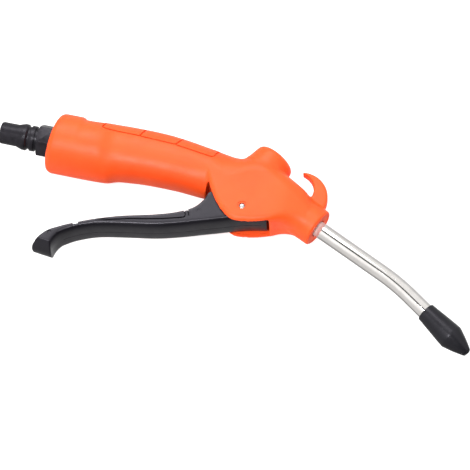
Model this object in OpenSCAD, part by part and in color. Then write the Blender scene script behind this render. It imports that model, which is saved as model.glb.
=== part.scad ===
/* [Handle and head] */
// Length of the moulded body from the collar's rear face to the end of the head
body_len = 131; // [110:1:160]
// Width of the head across both cheeks
body_w = 24; // [22:0.5:30]
// Height of the grip at its thickest
grip_h = 27.4; // [24:0.5:34]
// Diameter of the round collar at the inlet end
collar_d = 30.4; // [28:0.2:38]
// Length of the collar along the top of the handle
collar_len = 11.7; // [8:0.1:20]
// Radius of the collar's rear edge
collar_edge_r = 2.6; // [0.5:0.1:4]
// Lean of the collar's rear face, in degrees
collar_lean = 5.5; // [0:0.5:8]
// Diameter of the round boss that holds the valve
hump_d = 20.6; // [17:0.2:26]
// Height of that boss above the lever pin, along the valve's axis
hump_reach = 33.6; // [32:0.2:38]
// Radius of the boss's top edge
hump_edge_r = 3; // [0.5:0.1:5]
// Radius of the hook's outer curve
hook_r = 12.9; // [11:0.1:16]
// Radius of the hook's inner curve
hook_gap_r = 8.8; // [7:0.1:9.4]
// Thickness of the hook
hook_t = 6; // [3:0.5:9]

/* [Nozzle] */
// Diameter of the boss that the tube comes out of
nozzle_boss_d = 19; // [16:0.5:24]
// Length of that boss
nozzle_boss_len = 22; // [20:1:30]
// Slope of the nozzle below the handle's axis, in degrees
nozzle_angle = 24.8; // [15:0.1:35]
// Outside diameter of the nozzle tube
tube_d = 8; // [6:0.1:9]
// Wall of the nozzle tube
tube_wall = 1; // [0.5:0.1:1.5]
// Length of the tube from the boss's face to its bend
tube_first_len = 37.5; // [20:0.5:80]
// Radius of the tube's bend
tube_bend_r = 110; // [60:5:200]
// Angle of the tube's bend, in degrees
tube_bend_angle = 10; // [5:0.5:30]
// Length of the tube past its bend, up to the rubber tip
tube_last_len = 10; // [8:1:60]
// Length of the rubber tip
tip_len = 28.5; // [22:0.5:40]
// Largest diameter of the rubber tip
tip_d = 12.6; // [12:0.1:18]
// Diameter of the hole that the air leaves by
orifice_d = 2; // [1:0.1:4]

/* [Inlet plug] */
// Diameter of the plug's straight nose
nose_d = 11; // [10:0.1:12]
// Length of the straight nose
nose_len = 7.5; // [6:0.1:12]
// Diameter of the plug's locking shoulder
shoulder_d = 13.1; // [12.6:0.1:15]
// Distance across the flats of the plug's hexagon
hex_w = 14.6; // [13.4:0.1:15]
// Length of the hexagon
hex_len = 8.4; // [6:0.1:12]
// Diameter of the plug's threaded end
inlet_thread_d = 12.8; // [11:0.1:13.2]
// Length of the plug's threaded end
inlet_thread_len = 13; // [9:0.5:16]
// Bore through the plug
plug_bore_d = 6; // [4:0.1:8]

/* [Lever] */
// Width of the lever
lever_w = 19.2; // [17:0.1:19.6]
// Wall of the lever's hollow side
lever_wall = 2.2; // [1.5:0.1:3]
// Height that the outer face is crowned by
lever_crown = 1.3; // [0.5:0.1:2]
// Swing of the lever from rest to fully squeezed, in degrees
lever_swing = 14; // [8:0.5:14]
// Diameter of the lever's pin
pin_d = 3; // [2:0.1:3.6]

/* [Valve] */
// Slope of the valve's axis above the handle's axis, in degrees
valve_angle = 63; // [60:0.5:66]
// Distance from the lever pin to the valve's axis
valve_arm = 6; // [5.6:0.1:6.4]
// Diameter of the spring chamber
chamber_d = 11; // [10:0.1:12]
// Outside diameter of the valve seat
seat_d = 13; // [12.6:0.1:14]
// Length of the valve seat
seat_len = 8.9; // [8.6:0.1:10]
// Diameter of the valve stem
stem_d = 4; // [3.4:0.1:4.4]
// Diameter of the stem's poppet flange
poppet_d = 9; // [8.4:0.1:9.6]
// Wire of the valve spring
wire_d = 0.8; // [0.6:0.1:1]
// Turns of the valve spring
spring_turns = 7; // [5:1:9]

/* [Hidden] */
$fn = 48;

// What a cut runs past the face that it leaves by
over = 1;
// Radial clearance of a fixed fit, of a running fit and of a seal in its groove
fixed_fit = 0.02;
running_fit = 0.05;
seal_fit = 0.03;
// Gap where a moving piece rests against a fixed one
rest_gap = 0.3;
// Gap between a rubber face and the seat that it closes
face_gap = 0.05;
// Gap between the lever and the stem that it lifts
stem_gap = 0.2;

// Half sizes that the body's sections are scaled by
half_h = grip_h / 2;
half_w = body_w / 2;
collar_r = collar_d / 2;

// Sections along the body: place along its length, then the top, the bottom and the corner radii above
// and below as shares of half the grip's height, and the half width as a share of half the head's width
body_shares = [
    [0.091, 1.06, -1.10, 1.20, 1.20, 1.260],
    [0.130, 1.05, -1.10, 1.20, 1.20, 1.255],
    [0.168, 1.06, -1.10, 1.20, 1.20, 1.240],
    [0.215, 1.10, -1.10, 1.20, 1.20, 1.190],
    [0.244, 1.11, -1.03, 1.20, 1.20, 1.130],
    [0.282, 1.12, -0.92, 1.20, 1.20, 1.060],
    [0.351, 1.12, -0.86, 1.20, 1.20, 1.000],
    [0.427, 1.09, -0.85, 1.20, 1.20, 0.980],
    [0.504, 1.00, -0.87, 1.20, 1.20, 0.975],
    [0.580, 0.88, -0.94, 1.20, 1.10, 0.975],
    [0.603, 0.85, -0.97, 1.20, 0.80, 0.980],
    [0.626, 0.80, -1.14, 1.20, 0.50, 0.990],
    [0.653, 0.76, -1.42, 1.10, 0.38, 1.000],
    [0.682, 0.72, -1.66, 1.00, 0.34, 1.000],
    [0.713, 0.74, -1.81, 0.90, 0.33, 1.000],
    [0.753, 0.85, -1.86, 0.80, 0.33, 1.000],
    [0.794, 0.86, -1.80, 0.75, 0.33, 1.000],
    [0.855, 0.52, -1.64, 0.68, 0.34, 1.000],
    [0.900, 0.27, -1.53, 0.64, 0.38, 0.970],
    [0.940, 0.07, -1.57, 0.64, 0.52, 0.900],
    [0.970, -0.10, -1.68, 0.66, 0.62, 0.830],
    [1.000, -0.38, -1.82, 0.66, 0.66, 0.770]
];
body_stations = 50;
edge_steps = 5;
corner_steps = 7;

// Places in the head, as shares of the body's length and of half the grip's height
pin_shares = [0.7527, -1.314];
nozzle_face_shares = [1.040, -1.285];
hook_shares = [0.954, -0.277];
hook_gap_shares = [0.9275, -0.029];
hook_tip_share = 0.941;
slot_rear_share = 0.607;
slot_front_share = 0.860;
lever_top_share = 0.325;
lever_heel_share = 0.350;

pin_at = [pin_shares[0] * body_len, pin_shares[1] * half_h];
nozzle_at = [nozzle_face_shares[0] * body_len, nozzle_face_shares[1] * half_h];
hook_at = [hook_shares[0] * body_len, hook_shares[1] * half_h];
hook_gap_at = [hook_gap_shares[0] * body_len, hook_gap_shares[1] * half_h];
hook_root_y = nozzle_at[1] + nozzle_boss_d / 3;
slot_front_x = slot_front_share * body_len;
lever_top = lever_top_share * half_h;
lever_heel = lever_heel_share * half_h;
slot_roof_y = pin_at[1] + lever_top + rest_gap;

// Inlet: the plug stands out of the collar by the sum of its stretches, and its nose is the part's origin
tip_chamfer = 1;
flare_len = 3.1;
shoulder_len = 1.8;
groove_ramp_len = 0.8;
groove_len = 1.1;
ring_ramp_len = 0.2;
ring_len = 2.3;
neck_len = 1.7;
seal_t = 1;
insert_recess = 0.3;
groove_d = 11.1;
ring_d = 12.7;
neck_d = 11.2;
hex_chamfer = 0.8;
plug_lip_d = 10.4;
hex_back_x = insert_recess - seal_t;
hex_front_x = hex_back_x - hex_len;
plug_front_x = hex_front_x - neck_len - ring_len - ring_ramp_len - groove_len - groove_ramp_len
    - shoulder_len - flare_len - nose_len - tip_chamfer;
nose_mid_x = plug_front_x + tip_chamfer + nose_len / 2;

// Brass insert moulded into the collar
insert_d = 18;
insert_len = 17.7;
insert_groove = 0.8;
insert_rib_len = 3.4;
inlet_chamber_d = 12;
inlet_chamber_len = 4;
passage_d = 4.6;
passage_y = 3.6;

// Valve: heights above the pin's foot on the valve's axis
valve_foot = [pin_at[0] - valve_arm * sin(valve_angle), pin_at[1] + valve_arm * cos(valve_angle)];
seat_lift = 0.6;
seat_base = (slot_roof_y + seat_lift - valve_foot[1] + seat_d / 2 * cos(valve_angle)) / sin(valve_angle);
seat_top = seat_base + seat_len;
hump_wall = 3;
chamber_top = hump_reach - hump_wall;
flow_d = 6.6;
flow_len = 5.2;
port_d = 1.8;
port_count = 4;
port_groove_w = 2.2;
port_land = 0.3;
port_z = seat_top - flow_len + port_land + port_d / 2;
outlet_d = 3;
outlet_land = 0.3;
ring_groove_w = 1.4;
ring_groove_depth = 1.2;
ring_reach = outlet_d / 2 + outlet_land + ring_groove_w / 2;
gland_z = seat_base + 1.7;
gland_w = 1.3;
gland_d = 6;
seal_washer_t = 1;
poppet_t = 1.6;
washer_base = seat_top + face_gap;
poppet_base = washer_base + seal_washer_t;
stem_nose_r = stem_d / 4;
stem_foot = (lever_top + stem_gap + stem_nose_r - valve_arm * cos(valve_angle)
    + (stem_d / 2 - stem_nose_r) * cos(valve_angle)) / sin(valve_angle) - stem_nose_r;
spring_d = 7.6;
spring_base = poppet_base + poppet_t + face_gap;

// Nozzle: depths behind the boss's face
nozzle_mouth_d = 10.4;
nozzle_mouth_depth = 3;
nozzle_insert_d = 12.4;
nozzle_insert_len = 10;
nozzle_insert_groove = 0.7;
nozzle_gland_w = 1.5;
nozzle_ring_wire = 1.3;
nozzle_collar_t = 2.6;
nozzle_collar_rim = 1.1;
nozzle_chamber_len = 3.6;
insert_back = -nozzle_mouth_depth - nozzle_insert_len;
tube_back = insert_back - nozzle_collar_t;
boss_edge_r = 1.4;

// Rubber tip: the tube goes in as far as the tip's shoulder
tip_socket_len = 15;
tip_rim_d = 9.6;
tip_rim_edge = 0.5;
tip_end_wall = 0.7;
tip_end_edge = 0.6;
tip_max_share = 0.61;

// Lever: its sections from the tail to the front, each with a top and a bottom place measured from the pin,
// as shares of the lever's reach behind the pin and of half the grip's height
lever_reach = 93.3;
lever_shares = [
    [[-1.025, -2.720], [-0.935, -2.695]],
    [[-0.965, -2.292], [-0.914, -2.365]],
    [[-0.911, -2.058], [-0.883, -2.168]],
    [[-0.839, -1.810], [-0.822, -1.920]],
    [[-0.732, -1.496], [-0.725, -1.657]],
    [[-0.599, -1.190], [-0.589, -1.467]],
    [[-0.438, -0.905], [-0.426, -1.270]],
    [[-0.328, -0.650], [-0.301, -1.036]],
    [[-0.248, -0.350], [-0.189, -0.781]],
    [[-0.204, 0.029], [-0.124, -0.635]],
    [[-0.183, lever_heel_share], [-0.071, -0.511]],
    [[-0.105, 0.330], [-0.012, -0.400]],
    [[0.020, lever_top_share], [0.055, -0.290]],
    [[0.137, 0.300], [0.137, -0.219]]
];
lever_stations = 40;
lever_edge_r = 1.1;
lever_lip = 0.5;
lever_end_bulge = 3;
lever_min_pocket = 0.15;
lever_floor = 2;
slot_side_gap = 0.2;
slot_w = lever_w + 2 * slot_side_gap;
slot_rear_reach = 1;

// Value at place x of a smooth curve through the rows of a table, read from one column
function row_at(rows, x, i = 0) = i >= len(rows) - 2 || x < rows[i + 1][0] ? i : row_at(rows, x, i + 1);
function slope_at(rows, i, c) =
    let (a = max(i - 1, 0), b = min(i + 1, len(rows) - 1))
    (rows[b][c] - rows[a][c]) / (rows[b][0] - rows[a][0]);
function smooth_at(rows, x, c) =
    let (
        i = row_at(rows, x),
        h = rows[i + 1][0] - rows[i][0],
        t = (x - rows[i][0]) / h
    )
    blend(rows[i][c], rows[i + 1][c], slope_at(rows, i, c) * h, slope_at(rows, i + 1, c) * h, t);
function blend(p, q, m, n, t) =
    p * (2 * t ^ 3 - 3 * t ^ 2 + 1) + m * (t ^ 3 - 2 * t ^ 2 + t)
    + q * (3 * t ^ 2 - 2 * t ^ 3) + n * (t ^ 3 - t ^ 2);

// Faces of a skin over rings of n points each, then the same with both ends capped flat
function side_faces(rings, n) = concat(
    [for (i = [0 : rings - 2], k = [0 : n - 1])
        [i * n + k, i * n + (k + 1) % n, (i + 1) * n + (k + 1) % n]],
    [for (i = [0 : rings - 2], k = [0 : n - 1])
        [i * n + k, (i + 1) * n + (k + 1) % n, (i + 1) * n + k]]
);
function skin_faces(rings, n) = concat(
    side_faces(rings, n),
    [[for (k = [n - 1 : -1 : 0]) k]],
    [[for (k = [0 : n - 1]) (rings - 1) * n + k]]
);

// One quarter of a section: an arc of the corner radius, squeezed where the section is smaller than it
function corner(w, h, r, from) =
    let (rw = min(r, w), rh = min(r, abs(h)), side = sign(h))
    [for (k = [0 : corner_steps])
        let (a = from + 90 * k / corner_steps)
        [(w - rw) * sign_of(cos(from + 45)) + rw * cos(a), side * (abs(h) - rh) + rh * sin(a)]];
function sign_of(v) = v < 0 ? -1 : 1;

// A round section of the collar, inset for its rounded rear edge. The rear face leans, so the section leans
// with it and stands square again where the collar ends
function collar_section(x, inset) =
    let (
        r = collar_r - inset,
        lean = tan(collar_lean) * max(0, 1 - x / collar_len),
        pts = concat(corner(r, r, r, 0), corner(r, r, r, 90), corner(r, -r, r, 180), corner(r, -r, r, 270))
    )
    [for (p = pts) [x + lean * (p[1] - collar_r), p[1], p[0]]];
function collar_rings() = concat(
    [for (k = [0 : edge_steps])
        let (a = 90 * k / edge_steps)
        collar_section(collar_edge_r * (1 - cos(a)), collar_edge_r * (1 - sin(a)))],
    [collar_section(collar_len, 0)]
);

// A section of the body as points of width and height
function body_section(x) =
    let (
        top = smooth_at(body_shares, x, 1) * half_h,
        bottom = smooth_at(body_shares, x, 2) * half_h,
        above_r = smooth_at(body_shares, x, 3) * half_h,
        below_r = smooth_at(body_shares, x, 4) * half_h,
        w = smooth_at(body_shares, x, 5) * half_w,
        mid = (top + bottom) / 2,
        h = top - mid,
        pts = concat(corner(w, h, above_r, 0), corner(w, h, above_r, 90),
            corner(w, -h, below_r, 180), corner(w, -h, below_r, 270))
    )
    [for (p = pts) [x * body_len, mid + p[1], p[0]]];

// Puts what is drawn along +Z on one of the part's axes
module on_inlet_axis() rotate([0, 90, 0]) children();
module on_valve_axis() translate(valve_foot) rotate([0, 0, valve_angle - 90]) rotate([-90, 0, 0]) children();
module on_nozzle_axis() translate(nozzle_at) rotate([0, 0, -nozzle_angle]) rotate([0, 90, 0]) children();
// Every piece is drawn from the collar's rear face, and the part's origin is on the plug's nose
module from_nose() translate([-nose_mid_x, 0, 0]) children();

// A plain cylinder between two places along its axis
module rod(d, from, to) translate([0, 0, from]) cylinder(d = d, h = to - from);
// A ring of round wire that fits between an inner and an outer diameter
module o_ring(inner_d, outer_d, z) {
    wire = (outer_d - inner_d) / 2;
    translate([0, 0, z]) rotate_extrude() translate([inner_d / 2 + wire / 2, 0]) circle(d = wire, $fn = 24);
}
// A round bar with one rounded end, drawn as a revolved outline
module rounded_rod(d, from, to, edge) {
    rotate_extrude() union() {
        translate([0, from]) square([d / 2, to - from - edge]);
        translate([0, from]) square([d / 2 - edge, to - from]);
        translate([d / 2 - edge, to - edge]) circle(r = edge, $fn = 32);
    }
}

module body_skin() {
    first = body_shares[0][0];
    last = body_shares[len(body_shares) - 1][0];
    rings = concat(
        collar_rings(),
        [for (i = [0 : body_stations]) body_section(first + (last - first) * i / body_stations)]
    );
    n = len(rings[0]);
    polyhedron(points = [for (r = rings, p = r) p], faces = skin_faces(len(rings), n));
}

module hook() {
    intersection() {
        linear_extrude(hook_t, center = true) difference() {
            translate(hook_at) circle(r = hook_r, $fn = 96);
            translate(hook_gap_at) circle(r = hook_gap_r, $fn = 96);
        }
        translate([hook_tip_share * body_len, hook_root_y, -hook_t])
            cube([hook_r * 2, hook_r * 2, hook_t * 2]);
    }
}

// The slot's roof is level ahead of the pin, and behind it slopes as the lever's top does when fully squeezed
module lever_slot() {
    rear_x = slot_rear_share * body_len;
    squeezed_y = pin_at[1] + (lever_heel + rest_gap) / cos(lever_swing);
    linear_extrude(slot_w, center = true) polygon([
        [rear_x, squeezed_y + (pin_at[0] - rear_x) * tan(lever_swing)],
        [pin_at[0], squeezed_y],
        [pin_at[0], slot_roof_y],
        [slot_front_x, slot_roof_y],
        [slot_front_x, -grip_h * 2],
        [rear_x - valve_arm, -grip_h * 2],
        [rear_x - slot_rear_reach, -half_h]
    ]);
}

module body() {
    color("orangered") from_nose() difference() {
        union() {
            body_skin();
            on_valve_axis() rounded_rod(hump_d, seat_base, hump_reach, hump_edge_r);
            on_nozzle_axis() rounded_rod(nozzle_boss_d, -nozzle_boss_len, 0, boss_edge_r);
            hook();
        }
        lever_slot();
        pin_holes();
        valve_bores();
        nozzle_bores();
        inlet_bores();
    }
}

pin_sink = 0.7;
pin_sink_d = 5;
module pin_holes() {
    translate(pin_at) {
        rod(pin_d + 2 * fixed_fit, -half_w - over, half_w + over);
        rod(pin_sink_d, half_w - pin_sink, half_w + over);
        rod(pin_sink_d, -half_w - over, -half_w + pin_sink);
    }
}

module valve_bores() {
    on_valve_axis() {
        rod(seat_d + 2 * fixed_fit, 0, seat_top);
        rod(chamber_d, seat_top - over, chamber_top);
    }
    // The outlet leaves the bore's wall between the seat's two rings
    outlet_from = valve_foot + [
        port_z * cos(valve_angle) + seat_d / 2 * sin(valve_angle),
        port_z * sin(valve_angle) - seat_d / 2 * cos(valve_angle)
    ];
    outlet_to = nozzle_point(tube_back - nozzle_chamber_len / 2);
    run = outlet_to - outlet_from;
    translate(outlet_from) rotate([0, 0, atan2(run[1], run[0])]) rotate([0, 90, 0])
        rod(outlet_d, -outlet_d / 2, norm(run));
}
function nozzle_point(z) = [nozzle_at[0] + z * cos(nozzle_angle), nozzle_at[1] - z * sin(nozzle_angle)];

module nozzle_bores() {
    on_nozzle_axis() {
        rod(nozzle_mouth_d, -nozzle_mouth_depth - over, over);
        rod(nozzle_insert_d + 2 * fixed_fit, insert_back, -nozzle_mouth_depth);
        rod(tube_d + 2 * nozzle_collar_rim + 2 * rest_gap, tube_back - nozzle_chamber_len, insert_back + over);
    }
}

module inlet_bores() {
    on_inlet_axis() {
        rod(insert_d + 2 * fixed_fit, -collar_d * tan(collar_lean) - over, insert_recess + insert_len);
        rod(inlet_chamber_d, insert_len, insert_recess + insert_len + inlet_chamber_len);
    }
    passage_end_x = valve_foot[0] + (passage_y - valve_foot[1]) / tan(valve_angle);
    translate([0, passage_y, 0]) on_inlet_axis() rod(passage_d, insert_len + inlet_chamber_len / 2, passage_end_x);
}

module inlet_insert() {
    color("goldenrod") from_nose() on_inlet_axis() difference() {
        rod(insert_d, insert_recess, insert_recess + insert_len);
        rod(inlet_thread_d + 2 * fixed_fit, -over, insert_recess + insert_len + over);
        for (z = [insert_rib_len : insert_rib_len : insert_len - insert_rib_len])
            translate([0, 0, insert_recess + z]) rotate_extrude()
                translate([insert_d / 2 - insert_groove, 0]) square([insert_groove + over, insert_rib_len / 3]);
    }
}

// Outline of the plug from its lip to its hexagon, as radius and place
function plug_outline() =
    let (
        a = plug_front_x,
        b = a + tip_chamfer,
        c = b + nose_len,
        d = c + flare_len,
        e = d + shoulder_len,
        f = e + groove_ramp_len,
        g = f + groove_len,
        h = g + ring_ramp_len,
        i = h + ring_len,
        j = i + neck_len
    )
    [[0, a], [plug_lip_d / 2, a], [nose_d / 2, b], [nose_d / 2, c], [shoulder_d / 2, d], [shoulder_d / 2, e],
     [groove_d / 2, f], [groove_d / 2, g], [ring_d / 2, h], [ring_d / 2, i], [neck_d / 2, i], [neck_d / 2, j],
     [0, j]];

module inlet_plug() {
    color("dimgray") from_nose() on_inlet_axis() difference() {
        union() {
            rotate_extrude() polygon(plug_outline());
            intersection() {
                translate([0, 0, hex_front_x]) cylinder(d = hex_w / cos(30), h = hex_len, $fn = 6);
                hex_turning();
            }
            rod(inlet_thread_d, hex_back_x, hex_back_x + inlet_thread_len);
        }
        rod(plug_bore_d, plug_front_x - over, hex_back_x + inlet_thread_len + over);
    }
}

// The turned form that takes the corners off the hexagon's two ends
module hex_turning() {
    corner_r = hex_w / 2 / cos(30);
    rotate_extrude() polygon([
        [0, hex_front_x], [corner_r - hex_chamfer, hex_front_x], [corner_r + over / 4, hex_front_x + hex_chamfer],
        [corner_r + over / 4, hex_back_x - hex_chamfer], [corner_r - hex_chamfer, hex_back_x], [0, hex_back_x]
    ]);
}

module plug_seal() {
    color("black") from_nose() on_inlet_axis() difference() {
        rod(hex_w, hex_back_x, insert_recess);
        rod(inlet_thread_d + 2 * seal_fit, hex_back_x - over, insert_recess + over);
    }
}

// Places of a lever section, from the pin
function lever_place(share) = [pin_at[0] + share[0] * lever_reach, pin_at[1] + share[1] * half_h];
function lever_rows() = [for (i = [0 : len(lever_shares) - 1])
    let (t = lever_place(lever_shares[i][0]), b = lever_place(lever_shares[i][1]))
    [i, t[0], t[1], b[0], b[1]]];

// Places across the lever's width, from one side to the other
function lever_widths() =
    let (
        w = lever_w / 2,
        in = w - lever_wall,
        half = [w, w - lever_lip / 4, w - lever_lip, in, in - lever_lip, in / 2]
    )
    concat(-half, [0], [for (k = [len(half) - 1 : -1 : 0]) half[k]]);

// Outline of the lever across its width: a crowned outer face, two side walls and the pocket between them,
// with as many points above as below, so that the bulged tail is capped in flat strips
function lever_outline(h, pocket) =
    let (
        zs = lever_widths(),
        last = len(zs) - 1,
        drops = [lever_lip, lever_lip / 3, 0, 0, pocket, pocket, pocket]
    )
    concat(
        [for (z = zs) [z, lever_edge_r - (lever_crown + lever_edge_r) * face_share(2 * z / lever_w)]],
        [for (k = [last : -1 : 0]) [zs[k], h - drops[min(k, last - k)]]]
    );
// An arc squared up, so that the outer face is nearly flat and its edges are round
face_power = 3.2;
function face_share(v) = max(0, 1 - abs(v) ^ face_power) ^ (1 / face_power);
function strip_caps(rings, n) = [for (k = [0 : n / 2 - 2], end = [0, (rings - 1) * n])
    end == 0 ? [n - 1 - k, n - 2 - k, k + 1, k] : [end + k, end + k + 1, end + n - 2 - k, end + n - 1 - k]];

function lever_section(i, rows) =
    let (
        t = [smooth_at(rows, i, 1), smooth_at(rows, i, 2)],
        b = [smooth_at(rows, i, 3), smooth_at(rows, i, 4)],
        h = norm(t - b),
        up = (t - b) / h,
        along = [-up[1], up[0]],
        tail = max(0, 1 - i / 2),
        hollow = pocket_share(i) * max(h - lever_floor, 0),
        pts = lever_outline(h, max(hollow, lever_min_pocket))
    )
    [for (p = pts)
        let (out = tail * lever_end_bulge * (1 - (2 * p[0] / lever_w) ^ 2))
        [b[0] + up[0] * p[1] + along[0] * out, b[1] + up[1] * p[1] + along[1] * out, p[0]]];
// How deep the pocket is at a section: none at the tail and at the head, full between
pocket_from = 2;
pocket_full = 3.4;
pocket_ease = 7.2;
pocket_to = 8.2;
function pocket_share(i) =
    i < pocket_from || i > pocket_to ? 0
    : i < pocket_full ? (i - pocket_from) / (pocket_full - pocket_from)
    : i > pocket_ease ? (pocket_to - i) / (pocket_to - pocket_ease) : 1;

module lever() {
    rows = lever_rows();
    last = len(rows) - 1;
    rings = [for (k = [0 : lever_stations]) lever_section(last * k / lever_stations, rows)];
    n = len(rings[0]);
    color("dimgray") from_nose() difference() {
        polyhedron(points = [for (r = rings, p = r) p],
            faces = concat(side_faces(len(rings), n), strip_caps(len(rings), n)));
        translate(pin_at) rod(pin_d + 2 * running_fit, -lever_w, lever_w);
    }
}

module lever_pin() {
    color("silver") from_nose() translate(pin_at) rod(pin_d, -half_w + pin_sink, half_w - pin_sink);
}

module valve_seat() {
    color("goldenrod") from_nose() on_valve_axis() difference() {
        rod(seat_d, seat_base, seat_top);
        rod(flow_d, seat_top - flow_len, seat_top + over);
        rod(stem_d + 2 * running_fit, seat_base - over, seat_top);
        rod(gland_d, gland_z - gland_w / 2, gland_z + gland_w / 2);
        ring_groove(port_z + ring_reach, ring_groove_w);
        ring_groove(port_z - ring_reach, ring_groove_w);
        ring_groove(port_z, port_groove_w);
        for (k = [0 : port_count - 1]) rotate([0, 0, 360 * k / port_count])
            translate([0, 0, port_z]) rotate([0, 90, 0]) cylinder(d = port_d, h = seat_d);
    }
}
module ring_groove(z, w) {
    translate([0, 0, z - w / 2]) difference() {
        cylinder(d = seat_d + over, h = w);
        translate([0, 0, -over]) cylinder(d = seat_d - 2 * ring_groove_depth, h = w + 2 * over);
    }
}

module groove_ring(z) o_ring(seat_d - 2 * ring_groove_depth + 2 * seal_fit, seat_d, z);
module seat_o_ring() color("black") from_nose() on_valve_axis() groove_ring(port_z + ring_reach);
module seat_lower_o_ring() color("black") from_nose() on_valve_axis() groove_ring(port_z - ring_reach);
module stem_o_ring() {
    color("black") from_nose() on_valve_axis()
        o_ring(stem_d + 2 * seal_fit, gland_d - 2 * seal_fit, gland_z);
}

module valve_stem() {
    color("goldenrod") from_nose() on_valve_axis() {
        mirror([0, 0, 1]) rounded_rod(stem_d, -poppet_base - poppet_t, -stem_foot, stem_nose_r);
        rod(poppet_d, poppet_base, poppet_base + poppet_t);
    }
}

module poppet_seal() {
    color("black") from_nose() on_valve_axis() difference() {
        rod(poppet_d, washer_base, poppet_base);
        rod(stem_d + 2 * seal_fit, washer_base - over, poppet_base + over);
    }
}

// A coil swept along its helix as one tube of six sides, with eight rings a turn
rings_a_turn = 8;
wire_sides = 6;
spring_rise = chamber_top - spring_base - wire_d - 2 * face_gap;
spring_pitch = spring_rise / spring_turns;
function coil_ring(k) =
    let (
        a = 360 * k / rings_a_turn,
        z = spring_base + face_gap + wire_d / 2 + spring_pitch * k / rings_a_turn,
        lean = atan(spring_pitch / (PI * spring_d)),
        out = [cos(a), sin(a), 0],
        up = [sin(a) * sin(lean), -cos(a) * sin(lean), cos(lean)]
    )
    [for (s = [0 : wire_sides - 1])
        let (b = 360 * s / wire_sides)
        out * (spring_d / 2) + [0, 0, z] + (out * cos(b) + up * sin(b)) * wire_d / 2];
function coil_rings() = [for (k = [0 : spring_turns * rings_a_turn]) coil_ring(k)];
module valve_spring() {
    rings = coil_rings();
    echo(least_gap_between_turns = spring_pitch * cos(atan(spring_pitch / (PI * spring_d))) - wire_d);
    color("silver") from_nose() on_valve_axis()
        polyhedron(points = [for (r = rings, p = r) p], faces = skin_faces(len(rings), wire_sides));
}

module nozzle_insert() {
    color("goldenrod") from_nose() on_nozzle_axis() difference() {
        rod(nozzle_insert_d, insert_back, -nozzle_mouth_depth);
        rod(tube_d + 2 * fixed_fit, insert_back - over, 0);
        translate([0, 0, insert_back + nozzle_gland_w])
            cylinder(d = tube_d + 2 * nozzle_ring_wire, h = nozzle_gland_w);
        translate([0, 0, -nozzle_mouth_depth - nozzle_insert_len / 3]) difference() {
            cylinder(d = nozzle_insert_d + over, h = nozzle_gland_w);
            translate([0, 0, -over])
                cylinder(d = nozzle_insert_d - 2 * nozzle_insert_groove, h = nozzle_gland_w + 2 * over);
        }
    }
}

module nozzle_o_ring() {
    color("black") from_nose() on_nozzle_axis()
        o_ring(tube_d + 2 * seal_fit, tube_d + 2 * nozzle_ring_wire - 2 * seal_fit,
            insert_back + 1.5 * nozzle_gland_w);
}

module nozzle_collar() {
    color("goldenrod") from_nose() on_nozzle_axis() difference() {
        rod(tube_d + 2 * nozzle_collar_rim, tube_back, tube_back + nozzle_collar_t);
        rod(tube_d + 2 * fixed_fit, tube_back - over, tube_back + nozzle_collar_t + over);
    }
}

// Draws children() in the place where the tube's bend starts and where it ends
module at_bend_start() on_nozzle_axis() translate([0, 0, tube_first_len]) children();
module at_bend_end() at_bend_start() translate([0, -tube_bend_r, 0]) rotate([tube_bend_angle, 0, 0])
    translate([0, tube_bend_r, 0]) children();

// The bend is thinner by a hair and laps into both straight lengths
bend_step = 0.01;
bend_lap = 0.5;
module tube_run(d, ends) {
    on_nozzle_axis() rod(d, tube_back - ends, tube_first_len + bend_lap);
    at_bend_start() translate([0, -tube_bend_r, 0]) rotate([90, 0, 90])
        rotate_extrude(angle = tube_bend_angle, $fn = 360) translate([tube_bend_r, 0])
            circle(d = d - 2 * bend_step, $fn = 48);
    at_bend_end() rod(d, -bend_lap, tube_last_len + tip_socket_len + ends);
}

module nozzle_tube() {
    color("silver") from_nose() difference() {
        tube_run(tube_d, 0);
        tube_run(tube_d - 2 * tube_wall, over);
    }
}

// Outline of the rubber tip: a rounded rim, a straight swell to its widest and a straight taper to a flat end
module rubber_tip() {
    swell_z = tip_len * tip_max_share;
    end_r = orifice_d / 2 + tip_end_wall;
    color("black") from_nose() at_bend_end() translate([0, 0, tube_last_len]) difference() {
        rotate_extrude() polygon([
            [0, 0], [tip_rim_d / 2 - tip_rim_edge, 0], [tip_rim_d / 2, tip_rim_edge],
            [tip_d / 2 - tip_rim_edge / 4, swell_z - tip_rim_edge * 2], [tip_d / 2, swell_z],
            [tip_d / 2 - tip_rim_edge / 4, swell_z + tip_rim_edge * 2],
            [end_r + tip_end_edge, tip_len - tip_end_edge], [end_r, tip_len], [0, tip_len]
        ]);
        rod(tube_d + 2 * fixed_fit, -over, tip_socket_len);
        rod(orifice_d, 0, tip_len + over);
    }
}

body();
inlet_insert();
inlet_plug();
plug_seal();
lever();
lever_pin();
valve_seat();
seat_o_ring();
seat_lower_o_ring();
stem_o_ring();
valve_stem();
poppet_seal();
valve_spring();
nozzle_insert();
nozzle_o_ring();
nozzle_collar();
nozzle_tube();
rubber_tip();
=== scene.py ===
import math

import bmesh
import bpy
from mathutils import Matrix, Vector


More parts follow.
